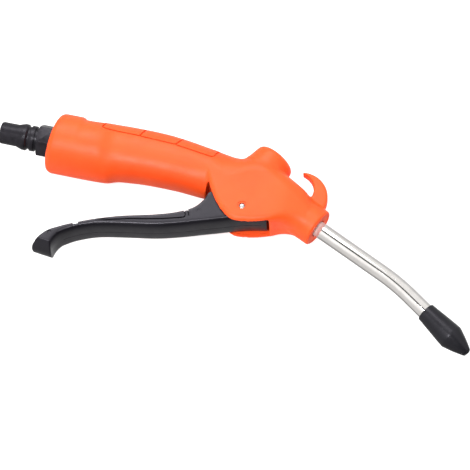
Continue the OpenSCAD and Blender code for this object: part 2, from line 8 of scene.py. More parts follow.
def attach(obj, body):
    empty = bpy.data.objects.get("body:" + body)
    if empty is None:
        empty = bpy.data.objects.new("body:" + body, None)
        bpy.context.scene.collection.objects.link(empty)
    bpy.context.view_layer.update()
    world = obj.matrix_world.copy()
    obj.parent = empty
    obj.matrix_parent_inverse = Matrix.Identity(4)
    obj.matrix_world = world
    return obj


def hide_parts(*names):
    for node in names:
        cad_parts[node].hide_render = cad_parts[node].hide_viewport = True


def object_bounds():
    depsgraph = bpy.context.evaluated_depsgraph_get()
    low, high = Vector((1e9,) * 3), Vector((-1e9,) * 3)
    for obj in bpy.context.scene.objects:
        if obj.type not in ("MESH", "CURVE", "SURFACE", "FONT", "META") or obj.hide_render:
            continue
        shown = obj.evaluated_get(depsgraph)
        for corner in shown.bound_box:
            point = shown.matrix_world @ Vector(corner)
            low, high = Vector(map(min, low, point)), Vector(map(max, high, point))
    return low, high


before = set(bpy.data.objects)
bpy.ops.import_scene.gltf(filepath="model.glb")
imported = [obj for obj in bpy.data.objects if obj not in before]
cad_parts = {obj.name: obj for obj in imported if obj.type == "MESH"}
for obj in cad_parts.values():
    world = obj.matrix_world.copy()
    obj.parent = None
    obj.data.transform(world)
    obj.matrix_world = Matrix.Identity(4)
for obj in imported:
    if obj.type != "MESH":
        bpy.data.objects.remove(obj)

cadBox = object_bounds()
print("frame loaded:", len(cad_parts), "nodes")

# Everything is measured from the collar's rear face, which lies this far ahead of the plug's nose
collarPlace = 0.02385
millimetre = 0.001
upright, lengthways = (0.0, 0.0, 1.0), (1.0, 0.0, 0.0)
# steps round plain bores, turned pieces and the largest bosses
coarseSteps, fineSteps, finestSteps = 64, 96, 128
# points closer than this are one, and a circle whose points are moved at once starts this large
mergeDistance, startRadius = 0.000001, 0.01


def place(x, y, z=0.0):
    # millimetres from the collar's rear face, as metres in the frame
    return Vector((collarPlace + x * millimetre, y * millimetre, z * millimetre))


def deselectAll():
    if bpy.context.object and bpy.context.object.mode == 'EDIT':
        bpy.ops.object.mode_set(mode='OBJECT')
    bpy.ops.object.select_all(action='DESELECT')


def makeActive(piece):
    deselectAll()
    piece.select_set(True)
    bpy.context.view_layer.objects.active = piece


def modify(piece, kind, **settings):
    modifier = piece.modifiers.new(kind.lower(), kind)
    for name, value in settings.items():
        setattr(modifier, name, value)
    makeActive(piece)
    bpy.ops.object.modifier_apply(modifier=modifier.name)


def settle(piece):
    # the piece's place goes into its mesh
    makeActive(piece)
    bpy.ops.object.transform_apply(location=True, rotation=True, scale=True)


def closeAndTurnOut(piece):
    # doubles merged, strays deleted, faces turned outwards
    makeActive(piece)
    bpy.ops.object.mode_set(mode='EDIT')
    bpy.ops.mesh.select_all(action='SELECT')
    bpy.ops.mesh.remove_doubles(threshold=mergeDistance)
    bpy.ops.mesh.select_all(action='SELECT')
    bpy.ops.mesh.delete_loose()
    bpy.ops.mesh.select_all(action='SELECT')
    bpy.ops.mesh.normals_make_consistent(inside=False)
    bpy.ops.object.mode_set(mode='OBJECT')


def addCircle(name, points, radius=startRadius, fill='NOTHING'):
    deselectAll()
    bpy.ops.mesh.primitive_circle_add(vertices=points, radius=radius, fill_type=fill)
    piece = bpy.context.object
    piece.name = name
    return piece


def loft(name, rings):
    # a filled circle with one vertex for each point of a ring, extruded from ring to ring
    piece = addCircle(name, len(rings[0]), startRadius, 'NGON')
    bpy.ops.object.mode_set(mode='EDIT')
    mesh = bmesh.from_edit_mesh(piece.data)
    order = mesh.verts.layers.int.new("order")
    for number, vertex in enumerate(mesh.verts):
        vertex[order] = number
        vertex.co = rings[0][number]
    bmesh.update_edit_mesh(piece.data)
    for ring in rings[1:]:
        bpy.ops.mesh.extrude_region_move()
        mesh = bmesh.from_edit_mesh(piece.data)
        order = mesh.verts.layers.int["order"]
        for vertex in mesh.verts:
            if vertex.select:
                vertex.co = ring[vertex[order]]
        bmesh.update_edit_mesh(piece.data)
    bpy.ops.object.mode_set(mode='OBJECT')
    closeAndTurnOut(piece)
    return piece


def prism(name, outline, reach):
    # an outline in the side view, extruded from one side of the tool to the other
    return loft(name, [[place(x, y, z) for x, y in outline] for z in (-reach, reach)])


def turned(name, profile, centre, way, steps=fineSteps):
    # a loop of (radius, height) points in millimetres, spun round its axis and set in place
    piece = addCircle(name, len(profile))
    bpy.ops.object.mode_set(mode='EDIT')
    mesh = bmesh.from_edit_mesh(piece.data)
    for vertex, (radius, height) in zip(mesh.verts, profile):
        vertex.co = (radius * millimetre, 0.0, height * millimetre)
    bmesh.update_edit_mesh(piece.data)
    bpy.ops.mesh.select_all(action='SELECT')
    bpy.ops.mesh.spin(steps=steps, angle=math.tau, center=(0.0, 0.0, 0.0), axis=upright)
    bpy.ops.object.mode_set(mode='OBJECT')
    closeAndTurnOut(piece)
    piece.rotation_euler = Vector(way).to_track_quat('Z', 'Y').to_euler()
    piece.location = centre
    settle(piece)
    return piece


def rod(name, centre, way, diameter, start, end, steps=coarseSteps):
    radius = diameter / 2
    profile = [(0, start), (radius, start), (radius, end), (0, end)]
    return turned(name, profile, centre, way, steps)


def combine(piece, other, operation, solver='EXACT'):
    modify(piece, 'BOOLEAN', object=other, operation=operation, solver=solver)
    bpy.data.objects.remove(other)


def softenEdges(piece, width, segments, angle):
    # width in millimetres, rows of faces, and the least angle that is rounded
    modify(piece, 'BEVEL', width=width * millimetre, segments=segments, limit_method='ANGLE',
           angle_limit=math.radians(angle))


def evenOut(piece, size):
    # one even skin over everything that the piece is joined from
    modify(piece, 'REMESH', mode='VOXEL', voxel_size=size * millimetre)


def relax(piece, times, group=""):
    modify(piece, 'SMOOTH', factor=0.5, iterations=times, vertex_group=group)


def shadeSmooth(piece, angle):
    makeActive(piece)
    bpy.ops.object.shade_smooth_by_angle(angle=math.radians(angle))


def markBends(piece, name, least, rings, hollow=True, spare=None):
    # groups the vertices where the surface turns sharply, and those within some rings of them
    mesh = bmesh.new()
    mesh.from_mesh(piece.data)
    mesh.verts.ensure_lookup_table()
    side, tiny = 1.0 if hollow else -1.0, 1e-9
    found = set()
    for vertex in mesh.verts:
        lean = 0.0
        for edge in vertex.link_edges:
            step = edge.other_vert(vertex).co - vertex.co
            lean += step.dot(vertex.normal) / max(step.length, tiny)
        lean *= side / max(len(vertex.link_edges), 1)
        if lean > least and not (spare and spare(vertex.co)):
            found.add(vertex.index)
    grown = set(found)
    edge = found
    for _ in range(rings):
        edge = {e.other_vert(mesh.verts[i]).index
                for i in edge for e in mesh.verts[i].link_edges} - grown
        edge = {i for i in edge if not (spare and spare(mesh.verts[i].co))}
        grown |= edge
    mesh.free()
    group = piece.vertex_groups.new(name=name)
    group.add(sorted(grown), 1.0, 'REPLACE')
    return len(grown)


def curveAt(rows, where, column):
    # a smooth curve through one column of a table, whose first column says where each row is
    index = 0
    while index < len(rows) - 2 and where >= rows[index + 1][0]:
        index += 1

    def slope(i):
        a, b = rows[max(i - 1, 0)], rows[min(i + 1, len(rows) - 1)]
        return (b[column] - a[column]) / (b[0] - a[0])

    step = rows[index + 1][0] - rows[index][0]
    t = (where - rows[index][0]) / step
    p, q = rows[index][column], rows[index + 1][column]
    m, n = slope(index) * step, slope(index + 1) * step
    return (p * (2 * t**3 - 3 * t**2 + 1) + m * (t**3 - 2 * t**2 + t)
            + q * (3 * t**2 - 2 * t**3) + n * (t**3 - t**2))


def plateau(where, start, full, last, end):
    # rises from 0 at the start to 1, and falls back to 0 at the end
    return max(0, min(1, (where - start) / (full - start), (end - where) / (end - last)))


# The moulded body: collar and grip, the valve's hump, the nozzle's boss, and the hook
bodyValues = {
    "length": 131.0,
    "halfHeight": 13.7,
    "halfWidth": 12.0,
    "collarRadius": 15.2,
    "collarLength": 11.7,
    "collarEdge": 2.6,
    "collarLean": 5.5,
    "collarSteps": 7,
    "stations": 120,
    "cornerSteps": 14,
    "skin": 0.45,
    # how much squarer than an ellipse the grip is below, and the shares of the length where that
    # starts, is full, starts to end and ends
    "squareness": (0.45, 0.22, 0.30, 0.52, 0.60),
    # place along, top, bottom, corner radius above and below, and half width, all as shares
    "sections": [
        (0.0905, 1.02, -1.108, 1.2, 1.2, 1.255),
        (0.13, 1.03, -1.108, 1.2, 1.2, 1.25),
        (0.168, 1.06, -1.106, 1.2, 1.2, 1.235),
        (0.187, 1.08, -1.105, 1.2, 1.2, 1.2),
        (0.202, 1.09, -1.103, 1.2, 1.2, 1.15),
        (0.219, 1.1, -1.095, 1.2, 1.2, 1.1),
        (0.23, 1.105, -1.06, 1.2, 1.2, 1.078),
        (0.246, 1.11, -0.99, 1.2, 1.2, 1.06),
        (0.264, 1.115, -0.935, 1.2, 1.2, 1.045),
        (0.3, 1.12, -0.885, 1.2, 1.2, 1.02),
        (0.351, 1.12, -0.845, 1.2, 1.2, 1.0),
        (0.427, 1.09, -0.835, 1.2, 1.2, 0.98),
        (0.504, 1.0, -0.855, 1.2, 1.2, 0.975),
        (0.58, 0.88, -0.94, 1.2, 1.1, 0.975),
        (0.603, 0.85, -0.97, 1.2, 0.8, 0.98),
        (0.626, 0.8, -1.14, 1.2, 0.5, 0.99),
        (0.653, 0.76, -1.42, 1.1, 0.36, 1.0),
        (0.682, 0.72, -1.69, 1.0, 0.31, 1.0),
        (0.713, 0.74, -1.89, 0.9, 0.29, 1.0),
        (0.74, 0.82, -1.945, 0.83, 0.26, 1.0),
        (0.775, 0.865, -1.895, 0.78, 0.25, 1.0),
        (0.8, 0.85, -1.85, 0.74, 0.23, 1.0),
        (0.855, 0.52, -1.69, 0.68, 0.23, 1.0),
        (0.9, 0.27, -1.54, 0.64, 0.34, 0.97),
        (0.94, 0.07, -1.57, 0.64, 0.52, 0.9),
        (0.97, -0.1, -1.68, 0.66, 0.62, 0.83),
        (1.0, -0.38, -1.82, 0.66, 0.66, 0.77),
    ],
}
valveValues = {
    "foot": (93.2539, -15.2782),
    "angle": 63.0,
    "humpDiameter": 20.6,
    "humpBase": 6.3,
    "humpTop": 33.6,
    "humpEdge": 3.0,
    # a slightly larger foot, set back a little, which the hump's rear runs out into
    "footBack": 0.9,
    "footProfile": [(0, 18), (11.0, 18), (10.7, 24), (10.25, 25.2), (9.98, 27), (9.72, 29),
                    (9.5, 30.6), (9.3, 31.6), (0, 31.6)],
}
nozzleValues = {
    "face": (136.24, -17.6045),
    "angle": 24.8,
    "bossDiameter": 19.0,
    "bossLength": 22.0,
    "bossEdge": 1.0,
    # radius and height of each corner of the cup that the tube comes out of
    "cup": [(0, -0.3), (7.9, -0.3), (8.05, -0.15), (8.1, 0.0), (8.1, 1.5), (0, 1.5)],
    "mouthDiameter": 9.3,
    "mouthDepth": 3.0,
}
hookValues = {
    "centre": (124.55, -3.75),
    "radius": 12.9,
    "gapCentre": (121.0, -0.25),
    "gapRadius": 8.8,
    "thickness": 6.0,
    "tip": 122.6,
    "root": -11.27,
    # half width of its cutters, and the left, right, low and high ends of what they clear
    "cutterReach": 9,
    "clear": (60, 200, -60, 30),
    "edge": (1.3, 4, 40),
}
pinValues = {
    "place": (98.6037, -18.0018),
    "diameter": 3.0,
    "sink": 0.35,
    "sinkDiameter": 4.6,
    "halfLength": 11.3,
    "dome": 0.45,
}


def quarter(width, height, radius, start, steps):
    across, up = min(radius, width), min(radius, abs(height))
    points = []
    for step in range(steps + 1):
        angle = math.radians(start + 90 * step / steps)
        side = 1 if math.cos(math.radians(start + 45)) > 0 else -1
        rise = 1 if height > 0 else -1
        points.append((side * (width - across) + across * math.cos(angle),
                       rise * (abs(height) - up) + up * math.sin(angle)))
    return points


def sectionPoints(width, height, above, below, steps):
    quarters = [(height, above, 0), (height, above, 90), (-height, below, 180),
                (-height, below, 270)]
    return [point for values in quarters for point in quarter(width, *values, steps)]


def squarer(points, width, height, power):
    # the lower half of an oval section, filled out towards its corners
    shaped = []
    for z, y in points:
        if y < 0 and power > 2:
            across, down = min(1, abs(z) / width), min(1, -y / height)
            z = math.copysign(width * across ** (2 / power), z)
            y = -height * down ** (2 / power)
        shaped.append((z, y))
    return shaped


def bodyRings(values, shrink=0.0):
    steps, last = values["cornerSteps"], values["collarSteps"]
    length, halfHeight, halfWidth = values["length"], values["halfHeight"], values["halfWidth"]
    full, edge, collar = values["collarRadius"], values["collarEdge"], values["collarLength"]
    slope = math.tan(math.radians(values["collarLean"]))
    turns = [math.radians(90 * step / last) for step in range(last + 1)]
    rounds = [(edge * (1 - math.cos(turn)), full - edge * (1 - math.sin(turn)) - shrink)
              for turn in turns]
    rings = []
    for x, radius in rounds + [(collar, full - shrink)]:
        lean = slope * max(0, 1 - x / collar)
        rings.append([place(x + lean * (y - full), y, z)
                      for z, y in sectionPoints(radius, radius, radius, radius, steps)])
    rows = values["sections"]
    extra, *span = values["squareness"]
    for station in range(values["stations"] + 1):
        share = rows[0][0] + (rows[-1][0] - rows[0][0]) * station / values["stations"]
        top, bottom, above, below, width = [curveAt(rows, share, column) for column in range(1, 6)]
        middle, height = (top + bottom) / 2 * halfHeight, (top - bottom) / 2 * halfHeight - shrink
        width = width * halfWidth - shrink
        points = sectionPoints(width, height, above * halfHeight, below * halfHeight, steps)
        points = squarer(points, width, height, 2 + extra * plateau(share, *span))
        rings.append([place(share * length, middle + y, z) for z, y in points])
    return rings


def onAxis(foot, angle, height, across=0.0):
    # a place given by its height along a sloping axis in the side view and its distance across it
    slope = math.radians(angle)
    return (foot[0] + height * math.cos(slope) - across * math.sin(slope),
            foot[1] + height * math.sin(slope) + across * math.cos(slope))


def direction(angle):
    return (math.cos(math.radians(angle)), math.sin(math.radians(angle)), 0.0)


def roundedPost(name, foot, angle, diameter, start, end, edge, edgeSteps=8):
    radius = diameter / 2
    profile = [(0, start), (radius, start), (radius, end - edge)]
    for step in range(1, edgeSteps + 1):
        turn = math.radians(90 * step / edgeSteps)
        profile.append((radius - edge * (1 - math.cos(turn)), end - edge * (1 - math.sin(turn))))
    profile.append((0, end))
    return turned(name, profile, place(*foot), direction(angle), finestSteps)


def block(name, left, right, low, high, reach):
    return prism(name, [(left, low), (right, low), (right, high), (left, high)], reach)


def makeHook():
    # a disc, less a disc, less what lies behind its tip and below its root
    hook = hookValues
    half, reach = hook["thickness"] / 2, hook["cutterReach"]
    left, right, low, high = hook["clear"]
    wide, gap = 2 * hook["radius"], 2 * hook["gapRadius"]
    curl = rod("hook", place(*hook["centre"]), upright, wide, -half, half, finestSteps)
    cutters = [
        rod("gap", place(*hook["gapCentre"]), upright, gap, -reach, reach, finestSteps),
        block("behindTip", left, hook["tip"], low, high, reach),
        block("belowRoot", left, right, low, hook["root"], reach),
    ]
    for cutter in cutters:
        combine(curl, cutter, 'DIFFERENCE')
    softenEdges(curl, *hook["edge"])
    return curl


slotValues = {
    "halfWidth": 10.3,
    "rear": 79.5,
    "front": 112.66,
    "roof": -13.249,
    "low": -55,
    # the two corners where the slot comes out at the rear
    "mouth": [(73.5, -55), (78.5, -13.7)],
    # the lever's greatest turn, how far its top lies from the pin, and the room left above it
    "swing": 14,
    "leverTop": 4.795,
    "room": 0.45,
}


def slotOutline():
    # the roof is level ahead of the pin and slopes behind it, as the squeezed lever's top does
    values, pin = slotValues, pinValues["place"]
    rear, front, roof = values["rear"], values["front"], values["roof"]
    swing = math.radians(values["swing"])
    squeezed = pin[1] + (values["leverTop"] + values["room"]) / math.cos(swing)
    return [(rear, squeezed + (pin[0] - rear) * math.tan(swing)), (pin[0], squeezed),
            (pin[0], roof), (front, roof), (front, values["low"])] + values["mouth"]


easeValues = {
    # least bend, rings of points round it, and rounds of smoothing
    "humpHollow": (0.10, 11, 110),
    "hollows": (0.10, 5, 26),
    "rims": (0.16, 2, 8),
    "all": 4,
    # where the hump's hollow and the slot lie: left, right, low, high and half width
    "humpFoot": (82, 112, 4, 50, 50),
    "slot": (74, 114, -100, -10.0, 10.8),
}


def inBox(name, point):
    left, right, low, high, half = easeValues[name]
    start, end = place(left, low, -half), place(right, high, half)
    return all(start[axis] < point[axis] < end[axis] for axis in range(3))


def ease(piece, name, hollow=True, spare=None):
    least, rings, times = easeValues[name]
    count = markBends(piece, name, least, rings, hollow, spare)
    relax(piece, times, name)
    return count


def makeBody():
    shell = loft("bodyShell", bodyRings(bodyValues))
    valve, nozzle = valveValues, nozzleValues
    hump = roundedPost("hump", valve["foot"], valve["angle"], valve["humpDiameter"],
                       valve["humpBase"], valve["humpTop"], valve["humpEdge"])
    behind = onAxis(valve["foot"], valve["angle"], 0, valve["footBack"])
    foot = turned("humpFoot", valve["footProfile"], place(*behind), direction(valve["angle"]),
                  finestSteps)
    boss = roundedPost("boss", nozzle["face"], -nozzle["angle"], nozzle["bossDiameter"],
                       -nozzle["bossLength"], 0, nozzle["bossEdge"])
    for part in (hump, foot, boss, makeHook()):
        combine(shell, part, 'UNION')
    print("body shell, hump, boss and hook joined")

    combine(shell, prism("slot", slotOutline(), slotValues["halfWidth"]), 'DIFFERENCE')
    evenOut(shell, bodyValues["skin"])
    print("body skin:", len(shell.data.polygons), "faces")

    ease(shell, "humpHollow", True, lambda point: not inBox("humpFoot", point))
    hollows = ease(shell, "hollows", True, lambda point: inBox("slot", point))
    rims = ease(shell, "rims", False)
    relax(shell, easeValues["all"])
    print("hollows and rims eased:", hollows, rims)
    return shell


grooveValues = {
    "width": 0.62,
    "depth": 0.8,
    "leastRadius": 0.05,
    # half width of the walls that are cut, and how far what is left inside them goes past it
    "reach": 16,
    "past": 2,
    # the core that stops the grooves is a coarser, smaller body
    "coreStations": 60,
    "coreCorners": 10,
    # corners of each grip panel in the side view, with the radius of each
    "panels": [
        [(25.1, 20.0, 0), (22.0, 7.8, 1.2), (41.3, 8.0, 1.5), (44.3, 20.0, 0)],
        [(44.3, 20.0, 0), (41.3, 7.8, 0.3), (59.5, 7.2, 1.5), (65.3, 20.0, 0)],
        [(65.3, 20.0, 0), (59.5, 7.0, 0.3), (79.1, 4.3, 1.5), (83.5, 20.0, 0)],
    ],
}


def offsetCorners(corners, distance):
    # the outline moved outwards by a distance
    moved = []
    for index, (x, y, radius) in enumerate(corners):
        before, after = corners[index - 1], corners[(index + 1) % len(corners)]
        first = Vector((x - before[0], y - before[1])).normalized()
        second = Vector((after[0] - x, after[1] - y)).normalized()
        normals = [Vector((d.y, -d.x)) for d in (first, second)]
        middle = (normals[0] + normals[1]).normalized()
        reach = distance / middle.dot(normals[0])
        bend = max(radius + distance, grooveValues["leastRadius"]) if radius else 0
        moved.append((x + middle.x * reach, y + middle.y * reach, bend))
    return moved


def roundCorners(corners, steps=5):
    outline = []
    for index, (x, y, radius) in enumerate(corners):
        if not radius:
            outline.append((x, y))
            continue
        corner = Vector((x, y))
        back = (Vector(corners[index - 1][:2]) - corner).normalized()
        ahead = (Vector(corners[(index + 1) % len(corners)][:2]) - corner).normalized()
        half = back.angle(ahead) / 2
        reach = radius / math.tan(half)
        centre = corner + (back + ahead).normalized() * radius / math.sin(half)
        start, end = corner + back * reach - centre, corner + ahead * reach - centre
        sweep = start.angle_signed(end)
        for step in range(steps + 1):
            turn = Matrix.Rotation(-sweep * step / steps, 2)
            point = centre + turn @ start
            outline.append((point.x, point.y))
    return outline


def cutGrooves(shell):
    values = grooveValues
    half, reach = values["width"] / 2, values["reach"]
    coarser = dict(bodyValues, stations=values["coreStations"], cornerSteps=values["coreCorners"])
    core = loft("core", bodyRings(coarser, values["depth"]))
    for corners in values["panels"]:
        wall = prism("grooveWall", roundCorners(offsetCorners(corners, half)), reach)
        inside = roundCorners(offsetCorners(corners, -half))
        combine(wall, prism("grooveIn", inside, reach + values["past"]), 'DIFFERENCE')
        coreCopy = core.copy()
        coreCopy.data = core.data.copy()
        bpy.context.collection.objects.link(coreCopy)
        combine(wall, coreCopy, 'DIFFERENCE')
        combine(shell, wall, 'DIFFERENCE', 'MANIFOLD')
    bpy.data.objects.remove(core)
    print("grip grooves cut")


boreValues = {
    # diameter of each bore, and where it starts and ends along its axis
    "valveLower": (13.04, 0, 15.162),
    "valveUpper": (11.0, 14, 30.6),
    "nozzleSocket": (12.44, -13, -3.0),
    "nozzleInner": (10.8, -19.2, -12),
    "inletSocket": (18.04, -5, 18),
    "inletInner": (12.0, 17, 22),
    "airway": (4.6, 19, 100),
    "airwayRise": 3.6,
    # ends of the nozzle's mouth past its depth and past the face
    "mouthPast": (1, 2),
    # the pin's play in its diameter and the ends of its bore
    "pinPlay": 0.04,
    "pinEnds": (-14, 14),
    # how far from the middle the cheek's face is, and where its cutters end
    "cheek": 12,
    "cheekPast": 15,
}


def cutBores(shell):
    values, pin, valve, nozzle = boreValues, pinValues, valveValues, nozzleValues
    pinPlace, sink, floor = place(*pin["place"]), pin["sinkDiameter"], values["cheek"] - pin["sink"]
    valveAxis = place(*valve["foot"]), direction(valve["angle"])
    nozzleAxis = place(*nozzle["face"]), direction(-nozzle["angle"])
    inletAxis = place(0, 0), lengthways
    behind, ahead = values["mouthPast"]
    bores = [
        rod("bore", pinPlace, upright, pin["diameter"] + values["pinPlay"], *values["pinEnds"]),
        rod("bore", pinPlace, upright, sink, floor, values["cheekPast"]),
        rod("bore", pinPlace, upright, sink, -values["cheekPast"], -floor),
        rod("bore", *valveAxis, *values["valveLower"]),
        rod("bore", *valveAxis, *values["valveUpper"]),
        turned("cup", nozzle["cup"], *nozzleAxis),
        rod("bore", *nozzleAxis, nozzle["mouthDiameter"], -nozzle["mouthDepth"] - behind, ahead,
            fineSteps),
        rod("bore", *nozzleAxis, *values["nozzleSocket"]),
        rod("bore", *nozzleAxis, *values["nozzleInner"]),
        rod("bore", *inletAxis, *values["inletSocket"], fineSteps),
        rod("bore", *inletAxis, *values["inletInner"]),
        rod("bore", place(0, values["airwayRise"]), lengthways, *values["airway"]),
    ]
    for bore in bores:
        combine(shell, bore, 'DIFFERENCE', 'MANIFOLD')
    print("body bores cut:", len(shell.data.polygons), "faces")


# The lever
leverValues = {
    "reach": 93.3,
    "width": 19.2,
    "wall": 2.2,
    "lip": 0.5,
    "edge": 1.1,
    "crown": 1.3,
    "facePower": 3.2,
    "faceSteps": 12,
    "pinPlay": 0.1,
    "relax": 3,
    # how far the tail's end bows out, and where its two corners lie
    "endBow": 4.0,
    "endInner": (5.16, -54.0),
    "endOuter": (11.2, -54.7),
    # ends of what is cut off there: across, below, and beyond the sides as a share
    "endReach": (-8, 25),
    "endLow": -75,
    "endSpread": 1.2,
    # how much the tail's inner edge falls at the sides, and how that sets in
    "tailFall": 2.3,
    "fallPower": 1.5,
    # rows where the hollow starts, is full, starts to end and ends, what is left under it,
    # and its least depth
    "hollow": (2, 3.4, 7.2, 8.2),
    "floor": 2.0,
    "leastHollow": 0.15,
    "stations": 150,
    "skin": 0.36,
    # top and bottom places of each section from the pin, as shares of the reach and of half the
    # grip's height
    "sections": [
        ((-1.0250, -2.993), (-0.937, -2.993)),
        ((-1.030, -2.745), (-0.935, -2.695)),
        ((-0.965, -2.292), (-0.914, -2.365)),
        ((-0.911, -2.058), (-0.883, -2.168)),
        ((-0.839, -1.810), (-0.822, -1.920)),
        ((-0.732, -1.496), (-0.725, -1.657)),
        ((-0.599, -1.190), (-0.589, -1.467)),
        ((-0.438, -0.905), (-0.426, -1.270)),
        ((-0.328, -0.650), (-0.301, -1.036)),
        ((-0.248, -0.350), (-0.189, -0.781)),
        ((-0.204, 0.029), (-0.124, -0.635)),
        ((-0.183, 0.350), (-0.071, -0.511)),
        ((-0.105, 0.330), (-0.012, -0.375)),
        ((0.020, 0.325), (0.055, -0.245)),
        ((0.137, 0.300), (0.137, -0.135)),
    ],
}


def faceShare(values, across):
    return max(0, 1 - abs(across) ** values["facePower"]) ** (1 / values["facePower"])


def leverRows():
    # the first section lies past the end of the tail, and is cut away there
    pin, reach, halfHeight = pinValues["place"], leverValues["reach"], bodyValues["halfHeight"]
    return [(number - 1, pin[0] + top[0] * reach, pin[1] + top[1] * halfHeight,
             pin[0] + bottom[0] * reach, pin[1] + bottom[1] * halfHeight)
            for number, (top, bottom) in enumerate(leverValues["sections"])]


def leverSection(row):
    # the top and bottom of the lever at a row of its table, or between two
    rows = leverRows()
    return [Vector((curveAt(rows, row, first), curveAt(rows, row, first + 1))) for first in (1, 3)]


def leverRings(values):
    half, lip, steps = values["width"] / 2, values["lip"], values["faceSteps"]
    inner = half - values["wall"]
    outer = [half * math.sin(math.radians(90 * step / steps)) for step in range(-steps, steps + 1)]
    upper = [half, half - lip / 4, half - lip, inner, inner - lip]
    upper += [inner * share for share in (0.75, 0.5, 0.25)]
    upper += [0.0] + [-value for value in reversed(upper)]
    rings = []
    for station in range(values["stations"] + 1):
        row = (len(values["sections"]) - 1) * station / values["stations"] - 1
        top, bottom = leverSection(row)
        height = (top - bottom).length
        up = (top - bottom) / height
        fall = values["tailFall"] * min(1, max(0, 1 - row)) ** values["fallPower"]
        hollow = plateau(row, *values["hollow"]) * max(height - values["floor"], 0)
        drops = [lip, lip / 3, 0, 0] + [max(hollow, values["leastHollow"])] * 5
        rise = values["crown"] + values["edge"]
        points = [(z, values["edge"] - rise * faceShare(values, z / half)) for z in outer]
        points += [(z, height - drops[min(k, len(upper) - 1 - k)] - fall * (z / half) ** 2)
                   for k, z in enumerate(upper)]
        spots = [(bottom + up * rise, z) for z, rise in points]
        rings.append([place(spot.x, spot.y, z) for spot, z in spots])
    return rings


def track(name, path, width, low, high, foot=1.0):
    # a narrow channel that follows a path in the side view, between two heights across the tool
    # foot is its width at the height nearer the middle, as a share of the width at the other
    lowShare, highShare = (foot, 1.0) if abs(low) < abs(high) else (1.0, foot)
    rings = []
    for index, (x, y) in enumerate(path):
        before, after = Vector(path[max(index - 1, 0)]), Vector(path[min(index + 1, len(path) - 1)])
        way = (after - before).normalized() * width / 2
        lower, upper = way * lowShare, way * highShare
        corners = [(x - lower.y, y + lower.x, low), (x + lower.y, y - lower.x, low),
                   (x + upper.y, y - upper.x, high), (x - upper.y, y + upper.x, high)]
        rings.append([place(*corner) for corner in corners])
    return loft(name, rings)


leverDetails = {
    # width a little outside the face, share of it at the bottom, and depth of the V-shaped lines
    "grooveWidth": 1.3,
    "grooveFoot": 0.1,
    "grooveDepth": 0.9,
    # the line that bounds the raised land on each side, and the short line ahead of it
    "groove": [(29.6, -38.9), (32.2, -38.4), (37.4, -37.6), (42.2, -36.4), (46.9, -35.1),
               (53.2, -33.9), (62.5, -31.8), (70.2, -29.6), (72.1, -28.9), (72.6, -28.3),
               (72.7, -27.6), (72.0, -26.3), (71.2, -25.0), (70.4, -23.6)],
    "shortLine": [(73.3, -24.9), (74.4, -27.7)],
    "notches": [((19.9, -42.6), (22.3, -41.6)), ((70.9, -24.7), (72.9, -23.7))],
    "notchDepth": 1.3,
    # place, radius and depth of each round mark
    "marks": [((10.4, -50.2), 1.25, 0.5), ((78.5, -24.4), 1.2, 0.25)],
    "markSteps": 48,
    # how far the cutters stand out of the sides
    "past": 1,
    # the seam's width, its rows and steps, and its ends over and under the outer face
    "seam": 0.3,
    "seamRows": (1.6, 12.6),
    "seamSteps": 60,
    "seamEnds": (0.15, -1.0),
}


def leverOuterLine(rise):
    # points along the middle of the outer face, this far above it
    (first, last), steps = leverDetails["seamRows"], leverDetails["seamSteps"]
    line = []
    for step in range(steps + 1):
        top, bottom = leverSection(first + (last - first) * step / steps)
        spot = bottom + (top - bottom).normalized() * (rise - leverValues["crown"])
        line.append((spot.x, spot.y))
    return line


def makeTailCutter():
    # the tail's end leans a little and is bowed across the lever
    values = leverValues
    half, inner, outer = values["width"] / 2, Vector(values["endInner"]), Vector(values["endOuter"])
    lean, steps = (outer.y - inner.y) / (outer.x - inner.x), values["faceSteps"]
    spread = [half * values["endSpread"] * k / steps for k in range(-steps, steps + 1)]
    rings = []
    for x in values["endReach"]:
        edge = inner.y + lean * (x - inner.x)
        ring = [(edge - values["endBow"] * (1 - (z / half) ** 2), z) for z in spread]
        ring += [(values["endLow"], spread[-1]), (values["endLow"], spread[0])]
        rings.append([place(x, y, z) for y, z in ring])
    return loft("bow", rings)


def makeLever():
    values, details, pin = leverValues, leverDetails, pinValues
    lever = loft("leverShell", leverRings(values))
    combine(lever, makeTailCutter(), 'DIFFERENCE')
    evenOut(lever, values["skin"])
    relax(lever, values["relax"])
    print("lever skin:", len(lever.data.polygons), "faces")
    face, past = values["width"] / 2, details["past"]
    cutters = [rod("bore", place(*pin["place"]), upright, pin["diameter"] + values["pinPlay"],
                   *boreValues["pinEnds"])]
    for side in (-1, 1):
        ends = sorted((side * (face - details["grooveDepth"]), side * (face + past)))
        for line in ("groove", "shortLine"):
            cutters.append(track(line, details[line], details["grooveWidth"], *ends,
                                 details["grooveFoot"]))
        for spot, radius, depth in details["marks"]:
            ends = sorted((side * (face - depth), side * (face + past)))
            cutters.append(rod("mark", place(*spot), upright, 2 * radius, *ends,
                               details["markSteps"]))
    outer, inner = [leverOuterLine(rise) for rise in details["seamEnds"]]
    thin = details["seam"] / 2
    corners = [((*over, -thin), (*over, thin), (*under, thin), (*under, -thin))
               for over, under in zip(outer, inner)]
    cutters.append(loft("seam", [[place(*corner) for corner in ring] for ring in corners]))
    for start, end in details["notches"]:
        path = [start, tuple((Vector(start) + Vector(end)) / 2), end]
        cutters.append(track("notch", path, 2 * details["notchDepth"], -face, face))
    for cutter in cutters:
        combine(lever, cutter, 'DIFFERENCE', 'MANIFOLD')
    print("lever made")
    return lever


